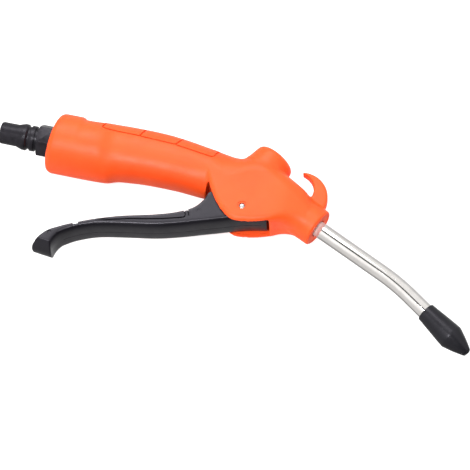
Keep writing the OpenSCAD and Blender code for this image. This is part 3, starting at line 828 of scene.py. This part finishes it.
# The inlet plug, the pin, the nozzle tube and the rubber tip
plugValues = {
    "bore": 3.0,
    "boreChamfer": 0.3,
    "edge": (0.14, 2, 20),
    # radius and place of each corner from the lip to the threaded end
    "outline": [
        (5.0, -28.6), (5.2, -28.5), (5.5, -27.6), (5.5, -20.1), (6.55, -17.0), (6.55, -15.2),
        (5.55, -14.4), (5.55, -13.3), (6.35, -13.1), (6.35, -10.8), (5.6, -10.8), (5.6, -8.9),
        (6.4, -8.9), (6.4, 12.3),
    ],
    "hexWidth": 14.6,
    "hexBack": -0.7,
    "hexFront": -9.1,
    "hexChamfer": 0.8,
    # room round the hexagon's corners, and the chamfer's length as a share of its depth
    "hexRoom": 0.25,
    "hexFall": 0.7,
    "hexEdge": (0.12, 2, 20),
    "hexBore": (6.0, -12, 2),
}


def makePlug():
    values = plugValues
    bore, chamfer, outline = values["bore"], values["boreChamfer"], values["outline"]
    lip, end = outline[0][1], outline[-1][1]
    profile = [(bore + chamfer, lip)] + outline + [(bore, end), (bore, lip + chamfer)]
    plug = turned("plug", profile, place(0, 0), lengthways)
    softenEdges(plug, *values["edge"])
    corner = values["hexWidth"] / 2 / math.cos(math.radians(30))
    front, back, chamfer = values["hexFront"], values["hexBack"], values["hexChamfer"]
    deselectAll()
    bpy.ops.mesh.primitive_cylinder_add(vertices=6, radius=corner * millimetre,
                                        depth=(back - front) * millimetre, end_fill_type='NGON')
    hexagon = bpy.context.object
    hexagon.name = "hexagon"
    hexagon.rotation_euler = (0, math.radians(90), 0)
    hexagon.location = place((front + back) / 2, 0)
    settle(hexagon)
    rim, fall = corner + values["hexRoom"], chamfer * values["hexFall"]
    limits = [(0, front), (corner - chamfer, front), (rim, front + fall),
              (rim, back - fall), (corner - chamfer, back), (0, back)]
    combine(hexagon, turned("limits", limits, place(0, 0), lengthways), 'INTERSECT')
    softenEdges(hexagon, *values["hexEdge"])
    combine(hexagon, rod("bore", place(0, 0), lengthways, *values["hexBore"]), 'DIFFERENCE')
    combine(plug, hexagon, 'UNION')
    return plug


def makePin():
    radius, half, rise = pinValues["diameter"] / 2, pinValues["halfLength"], pinValues["dome"]
    turns = [math.radians(angle) for angle in range(0, 91, 15)]
    dome = [(radius * math.cos(turn), half - rise + rise * math.sin(turn)) for turn in turns]
    profile = [(across, -height) for across, height in reversed(dome)] + dome
    return turned("leverPinBright", profile, place(*pinValues["place"]), upright, coarseSteps)


tubeValues = {
    "diameter": 8.0,
    "wall": 1.0,
    "back": -15.6,
    "firstLength": 37.5,
    "bendRadius": 110.0,
    "bendAngle": 10.0,
    "bendSteps": 24,
    "lastLength": 25.0,
    "edge": (0.2, 2, 50),
}
tipValues = {
    "length": 28.5,
    "tubeLength": 10.0,
    "socket": 15.0,
    "socketRadius": 4.02,
    "orifice": 1.0,
    # chamfer of both holes, and how far the end of the outline lies inside the length
    "chamfer": 0.3,
    "sunk": 0.01,
    "edge": (0.12, 2, 45),
    # radius and height of each ring outside
    "outline": [(4.3, 0.0), (4.6, 0.1), (4.76, 0.35), (4.82, 0.8), (5.02, 3.0), (5.4, 7.0),
                (5.8, 11.2), (6.1, 14.6), (6.24, 16.8), (6.29, 17.4), (6.18, 17.9), (5.8, 19.1),
                (4.3, 23.3), (2.6, 27.2), (2.27, 27.9), (2.02, 28.28), (1.66, 28.46)],
}


def nozzleBend():
    # the centre of the tube's bend, the place where it ends, and the tube's slope from there
    values, slope = tubeValues, -nozzleValues["angle"]
    start = onAxis(nozzleValues["face"], slope, values["firstLength"])
    centre = onAxis(start, slope, 0, -values["bendRadius"])
    slope -= values["bendAngle"]
    return centre, onAxis(centre, slope, 0, values["bendRadius"]), slope


def makeTube():
    values, slope = tubeValues, -nozzleValues["angle"]
    centre, end, lastSlope = nozzleBend()
    tube = addCircle("tube", coarseSteps, values["diameter"] / 2 * millimetre)
    tube.rotation_euler = Vector(direction(slope)).to_track_quat('Z', 'Y').to_euler()
    tube.location = place(*onAxis(nozzleValues["face"], slope, values["back"]))
    settle(tube)
    bpy.ops.object.mode_set(mode='EDIT')
    bpy.ops.mesh.select_all(action='SELECT')
    run = Vector(direction(slope)) * (values["firstLength"] - values["back"]) * millimetre
    bpy.ops.mesh.extrude_region_move(TRANSFORM_OT_translate={"value": run})
    bpy.ops.mesh.spin(steps=values["bendSteps"], angle=math.radians(values["bendAngle"]),
                      center=place(*centre), axis=upright)
    run = Vector(direction(lastSlope)) * values["lastLength"] * millimetre
    bpy.ops.mesh.extrude_region_move(TRANSFORM_OT_translate={"value": run})
    bpy.ops.object.mode_set(mode='OBJECT')
    closeAndTurnOut(tube)
    modify(tube, 'SOLIDIFY', thickness=values["wall"] * millimetre, offset=-1.0)
    softenEdges(tube, *values["edge"])
    return tube


def makeTip():
    values = tipValues
    centre, end, slope = nozzleBend()
    socket, length, chamfer = values["socket"], values["length"], values["chamfer"]
    wide, hole = values["socketRadius"], values["orifice"]
    profile = [(wide, chamfer)] + values["outline"]
    profile += [(hole + chamfer, length - values["sunk"]), (hole, length - chamfer),
                (hole, socket), (wide, socket)]
    start = place(*onAxis(end, slope, values["tubeLength"]))
    tip = turned("tip", profile, start, direction(slope))
    softenEdges(tip, *values["edge"])
    return tip


# The finishes: two close tones, a satin that comes and goes, and relief under them


def setInputs(node, values):
    for name, value in values.items():
        node.inputs[name].default_value = value


def makeFinish(name, values, angle=0.0, tilt=0.0):
    material = bpy.data.materials.new(name)
    material.use_nodes = True
    tree = material.node_tree
    shader = tree.nodes["Principled BSDF"]
    spot = tree.nodes.new('ShaderNodeTexCoord').outputs["Object"]

    def noise(scale, detail):
        node = tree.nodes.new('ShaderNodeTexNoise')
        setInputs(node, {"Scale": scale, "Detail": detail})
        tree.links.new(spot, node.inputs["Vector"])
        return node.outputs["Fac"]

    def carried(source, start, end, low, high):
        # what lies between start and end is carried over to between low and high
        node = tree.nodes.new('ShaderNodeMapRange')
        setInputs(node, {"From Min": start, "From Max": end, "To Min": low, "To Max": high})
        tree.links.new(source, node.inputs["Value"])
        return node.outputs["Result"]

    setInputs(shader, values["shader"])
    scale, detail, edge = values["tone"]
    ramp = tree.nodes.new('ShaderNodeValToRGB')
    first, last = ramp.color_ramp.elements
    first.position, first.color = edge, values["deep"]
    last.position, last.color = 1 - edge, values["light"]
    tree.links.new(noise(scale, detail), ramp.inputs["Fac"])
    tree.links.new(ramp.outputs["Color"], shader.inputs["Base Color"])
    satin = carried(noise(*values["satin"]), *noiseSpan, *values["gloss"])
    tree.links.new(satin, shader.inputs["Roughness"])
    layers = [(noise(scale, detail), depth) for scale, detail, depth in values["relief"]]
    if "marks" in values:
        # fine turning marks round the piece's axis
        scale, depth = values["marks"]
        turn = tree.nodes.new('ShaderNodeMapping')
        setInputs(turn, {"Rotation": (0, math.radians(tilt), -math.radians(angle))})
        tree.links.new(spot, turn.inputs["Vector"])
        wave = tree.nodes.new('ShaderNodeTexWave')
        wave.wave_type, wave.bands_direction = 'BANDS', 'X'
        setInputs(wave, {"Scale": scale, "Distortion": 1.2, "Detail": 2.0})
        tree.links.new(turn.outputs["Vector"], wave.inputs["Vector"])
        layers.insert(0, (wave.outputs["Fac"], depth))
        if "clouded" in values:
            # the first stretch out of the mouth is duller, so it mirrors the mouth less
            run = tree.nodes.new('ShaderNodeSeparateXYZ')
            tree.links.new(turn.outputs["Vector"], run.inputs["Vector"])
            fade = carried(run.outputs["X"], *values["clouded"], 1.0)
            tree.links.new(fade, shader.inputs["Metallic"])
    normal = None
    for source, depth in layers:
        bump = tree.nodes.new('ShaderNodeBump')
        setInputs(bump, {"Strength": 1.0, "Distance": depth * millimetre})
        tree.links.new(source, bump.inputs["Height"])
        if normal is not None:
            tree.links.new(normal, bump.inputs["Normal"])
        normal = bump.outputs["Normal"]
    tree.links.new(normal, shader.inputs["Normal"])
    return material


# tone: scale, detail and where each colour starts. satin: scale and detail. gloss: least and
# greatest roughness. marks: scale and depth. relief: scale, detail and depth of each layer
noiseSpan = (0.3, 0.7)
coolTint = (0.93, 0.9, 1.0, 1)
orangeValues = {
    "deep": (0.93, 0.078, 0.009, 1), "light": (0.96, 0.09, 0.012, 1), "tone": (60.0, 4, 0.35),
    "satin": (220.0, 5), "gloss": (0.42, 0.5), "relief": [(2600.0, 2, 0.012), (90.0, 1, 0.05)],
    "shader": {"Specular IOR Level": 0.28, "Subsurface Weight": 0.1,
               "Subsurface Radius": (1.0, 0.3, 0.12), "Subsurface Scale": 0.0015},
}
greyValues = {
    "deep": (0.006, 0.0054, 0.0075, 1), "light": (0.009, 0.008, 0.011, 1),
    "tone": (80.0, 4, 0.35), "satin": (260.0, 5), "gloss": (0.30, 0.38),
    "relief": [(2400.0, 2, 0.014), (110.0, 1, 0.04)],
    "shader": {"Specular IOR Level": 0.36, "Specular Tint": coolTint},
}
blackSteelValues = {
    "deep": (0.005, 0.0045, 0.006, 1), "light": (0.013, 0.0115, 0.015, 1),
    "tone": (400.0, 4, 0.3), "satin": (700.0, 5), "gloss": (0.3, 0.42),
    "marks": (1500.0, 0.006), "relief": [(1800.0, 3, 0.01)],
    "shader": {"Specular IOR Level": 0.24, "Specular Tint": coolTint},
}
steelValues = {
    "deep": (0.68, 0.655, 0.63, 1), "light": (0.74, 0.715, 0.695, 1), "tone": (300.0, 4, 0.3),
    "satin": (900.0, 5), "gloss": (0.09, 0.13), "marks": (700.0, 0.0013),
    "relief": [(1500.0, 3, 0.001)], "shader": {"Metallic": 1.0},
}
# where along the tube it starts and stops clearing up, and how much of a mirror it is at first
tubeSteelValues = dict(steelValues, clouded=(0.1477, 0.1512, 0.2))
pinSteelValues = dict(steelValues, deep=(0.3, 0.3, 0.29, 1), light=(0.38, 0.38, 0.37, 1),
                      gloss=(0.34, 0.42))
springSteelValues = dict(steelValues, deep=(0.4, 0.4, 0.42, 1), light=(0.5, 0.5, 0.52, 1),
                         gloss=(0.3, 0.4))
brassValues = {
    "deep": (0.63, 0.42, 0.14, 1), "light": (0.74, 0.52, 0.2, 1), "tone": (350.0, 4, 0.3),
    "satin": (800.0, 5), "gloss": (0.24, 0.36), "marks": (1600.0, 0.005),
    "relief": [(1600.0, 3, 0.004)], "shader": {"Metallic": 1.0},
}
rubberValues = {
    "deep": (0.004, 0.004, 0.0055, 1), "light": (0.007, 0.007, 0.009, 1),
    "tone": (120.0, 5, 0.3), "satin": (300.0, 4), "gloss": (0.31, 0.39),
    "relief": [(2000.0, 3, 0.02)],
    "shader": {"Specular IOR Level": 0.28, "Specular Tint": coolTint, "Sheen Weight": 0.02,
               "Sheen Roughness": 0.5},
}
sealValues = dict(rubberValues, gloss=(0.35, 0.45), relief=[(2000.0, 3, 0.006)])


def dress(piece, material):
    if not len(piece.data.materials):
        piece.data.materials.append(material)
    for surface in piece.material_slots:
        surface.material = material


# The pieces are made, dressed, hung on their bodies and shown in place of the nodes they replace
body = makeBody()
cutGrooves(body)
cutBores(body)
lever = makeLever()
plug, leverPin, tube, tip = makePlug(), makePin(), makeTube(), makeTip()
print("plug, pin, tube and tip made")

valveAngle, nozzleAngle = valveValues["angle"], -nozzleValues["angle"]

# each with its body, the node it replaces, its slot, its greatest smooth angle and its finish
newPieces = [
    (body, "housing", "body", "orange_plastic", 34, makeFinish("orangePlastic", orangeValues)),
    (lever, "lever", "lever", "grey_plastic", 40, makeFinish("greyPlastic", greyValues)),
    (plug, "housing", "inlet_plug", "black_metal", 30, makeFinish("blackSteel", blackSteelValues)),
    (leverPin, "housing", "lever_pin", "steel", 40, makeFinish("pinSteel", pinSteelValues, 0, 90)),
    (tube, "housing", "nozzle_tube", "steel", 30,
     makeFinish("tubeSteel", tubeSteelValues, nozzleAngle - tubeValues["bendAngle"] / 2)),
    (tip, "housing", "rubber_tip", "rubber", 40, makeFinish("tipRubber", rubberValues)),
]
for piece, bodyName, node, slotName, smooth, material in newPieces:
    shadeSmooth(piece, smooth)
    dress(piece, material)
    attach(piece, bodyName)
    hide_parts(node)

keptNodes = [
    (makeFinish("inletBrass", brassValues), ["inlet_insert"]),
    (makeFinish("valveBrass", brassValues, valveAngle), ["valve_seat", "valve_stem"]),
    (makeFinish("nozzleBrass", brassValues, nozzleAngle), ["nozzle_insert", "nozzle_collar"]),
    (makeFinish("springSteel", springSteelValues, valveAngle), ["valve_spring"]),
    (makeFinish("sealRubber", sealValues), [
        "plug_seal", "seat_o_ring", "seat_lower_o_ring", "stem_o_ring", "poppet_seal",
        "nozzle_o_ring"]),
]
for material, names in keptNodes:
    for name in names:
        dress(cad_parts[name], material)
print("finishes given")

# The floor, the light and the camera
stageValues = {
    "floorSize": 6.0,
    "floorMiddle": (0.1, 0.0),
    "floorGap": 0.0001,
    # ways across the room, with where each smooth step of its light starts and ends
    "open": ((-0.1, 0.9, 0.45), -0.55, 0.5, 0.06, 1.3),
    "ceiling": ((0.0, 0.0, 1.0), -0.2, 0.55, 0.3, 0.9),
    # a dark gap overhead, which runs along the tube
    "gapNear": ((0.45, 0.885, 0.11), 0.095, 0.185, 0.0, 1.0),
    "gapFar": ((-0.45, -0.885, -0.11), 0.095, 0.185, 0.0, 1.0),
    "gapEnd": ((0.0, 0.0, -1.0), -0.6, -0.1, 0.0, 1.0),
    # what shows below: the paper under the tool, a bright part of the room to the lower left,
    # the wall beyond
    "under": ((0.0, 0.0, -1.0), 0.35, 0.95, 0.0, 0.44),
    "patch": ((-0.68, -0.70, 0.2), 0.45, 0.9, 0.0, 0.85),
    "far": ((0.2, 0.8, -0.55), 0.55, 0.9, 0.0, 0.3),
    "paperShade": (0.4, 0.4, 0.4, 1),
    "paperRoughness": 0.9,
    "paperGlow": 0.8,
    # place, aim, size and power of each soft light
    "lights": [
        ((-0.25, 0.75, 1.0), (0.08, -0.01, 0.0), 0.7, 10.5),
        ((0.75, 0.25, 1.0), (0.12, -0.02, 0.0), 0.5, 0.6),
        ((0.0, -0.38, 1.0), (0.1, -0.02, 0.0), 0.18, 8.6),
    ],
}
cameraValues = {
    "aim": (0.1211, -0.0292, 0.0),
    "distance": 1.1165,
    "azimuth": 18.86,
    "elevation": 67.97,
    "roll": -6.27,
    "lens": 176.17,
    "sensor": 36.0,
}

deselectAll()
bpy.ops.mesh.primitive_plane_add(
    size=stageValues["floorSize"],
    location=(*stageValues["floorMiddle"], cadBox[0][2] - stageValues["floorGap"]))
floor = bpy.context.object
floor.name = "floor"
settle(floor)
paper = bpy.data.materials.new("paper")
paper.use_nodes = True
setInputs(paper.node_tree.nodes["Principled BSDF"], {
    "Base Color": stageValues["paperShade"], "Roughness": stageValues["paperRoughness"],
    "Emission Color": (1, 1, 1, 1), "Emission Strength": stageValues["paperGlow"]})
floor.data.materials.append(paper)
floor.visible_glossy = False

for number, (spot, aim, size, power) in enumerate(stageValues["lights"]):
    light = bpy.data.lights.new(f"softLight{number}", 'AREA')
    light.shape = 'SQUARE'
    light.size = size
    light.energy = power
    lamp = bpy.data.objects.new(f"softLight{number}", light)
    lamp.location = spot
    lamp.rotation_euler = (Vector(aim) - Vector(spot)).to_track_quat('-Z', 'Y').to_euler()
    bpy.context.scene.collection.objects.link(lamp)

world = bpy.data.worlds.new("paleRoom")
bpy.context.scene.world = world
world.use_nodes = True
room = world.node_tree
sky = room.nodes.new('ShaderNodeTexCoord').outputs["Generated"]


def slant(way, low, high, dim, bright):
    # a smooth step from one side of the room to the other
    across = room.nodes.new('ShaderNodeVectorMath')
    across.operation = 'DOT_PRODUCT'
    across.inputs[1].default_value = Vector(way).normalized()
    room.links.new(sky, across.inputs[0])
    step = room.nodes.new('ShaderNodeMapRange')
    step.interpolation_type = 'SMOOTHSTEP'
    setInputs(step, {"From Min": low, "From Max": high, "To Min": dim, "To Max": bright})
    room.links.new(across.outputs["Value"], step.inputs["Value"])
    return step.outputs["Result"]


def joined(operation, first, second):
    both = room.nodes.new('ShaderNodeMath')
    both.operation = operation
    room.links.new(first, both.inputs[0])
    room.links.new(second, both.inputs[1])
    return both.outputs["Value"]


overhead = joined('MULTIPLY', slant(*stageValues["open"]), slant(*stageValues["ceiling"]))
gap = joined('MAXIMUM', slant(*stageValues["gapNear"]), slant(*stageValues["gapFar"]))
gap = joined('MAXIMUM', gap, slant(*stageValues["gapEnd"]))
below = joined('ADD', slant(*stageValues["under"]), slant(*stageValues["patch"]))
below = joined('ADD', below, slant(*stageValues["far"]))
strength = joined('ADD', joined('MULTIPLY', overhead, gap), below)
room.nodes["Background"].inputs["Color"].default_value = (1, 1, 1, 1)
room.links.new(strength, room.nodes["Background"].inputs["Strength"])

azimuth, elevation, roll = [math.radians(cameraValues[key])
                            for key in ("azimuth", "elevation", "roll")]
level = math.cos(elevation)
back = Vector((math.sin(azimuth) * level, -math.cos(azimuth) * level, math.sin(elevation)))
right = Vector((math.cos(azimuth), math.sin(azimuth), 0.0))
up = back.cross(right)
right = right * math.cos(roll) + up * math.sin(roll)
up = back.cross(right)
lens = bpy.data.cameras.new("camera")
lens.lens = cameraValues["lens"]
lens.sensor_width = cameraValues["sensor"]
camera = bpy.data.objects.new("camera", lens)
spot = Vector(cameraValues["aim"]) + back * cameraValues["distance"]
camera.matrix_world = (Matrix.Translation(spot)
                       @ Matrix((right, up, back)).transposed().to_4x4())
bpy.context.scene.collection.objects.link(camera)
bpy.context.scene.camera = camera
bpy.context.scene.view_settings.view_transform = 'Standard'
print("floor, lights and camera set")
